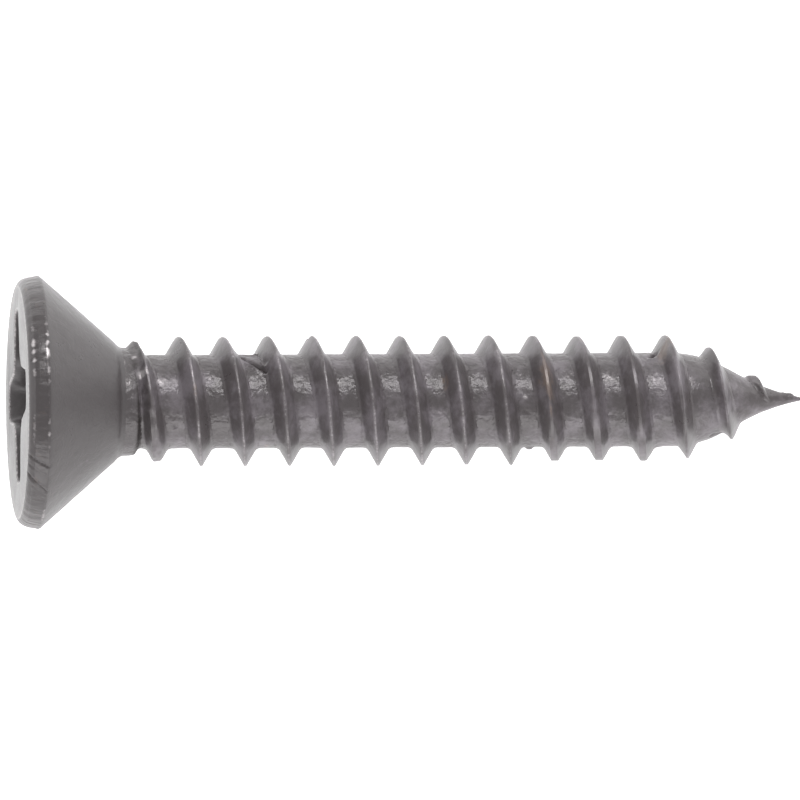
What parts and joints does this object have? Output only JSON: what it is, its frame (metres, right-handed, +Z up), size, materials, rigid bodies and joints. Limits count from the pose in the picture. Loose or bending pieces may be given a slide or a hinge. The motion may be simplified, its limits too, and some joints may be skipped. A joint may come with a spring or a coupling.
{
  "type": "wood screw",
  "caption": "Countersunk steel screw with a cross recess, threaded from its neck to a gimlet point, for fastening into wood or thin sheet.",
  "frame": {"origin": "on the surface the screw lies on, below the middle of its bounding box", "axes": "+X from the head to the point and +Z up. The screw lies on its side, on the edge of its head and a thread crest near the point, so its own axis dips 5.7 degrees below +X towards the point"},
  "size_m": [0.0254, 0.008, 0.008],
  "materials": {
    "coated_steel": "satin dark grey coating over formed steel, worn bright on the thread's crest and the rim of the head"
  },
  "bodies": {
    "root": {"head": "coated_steel", "neck": "coated_steel", "shank_core": "coated_steel", "thread_ridge": "coated_steel", "point_core": "coated_steel"}
  },
  "joints": []
}
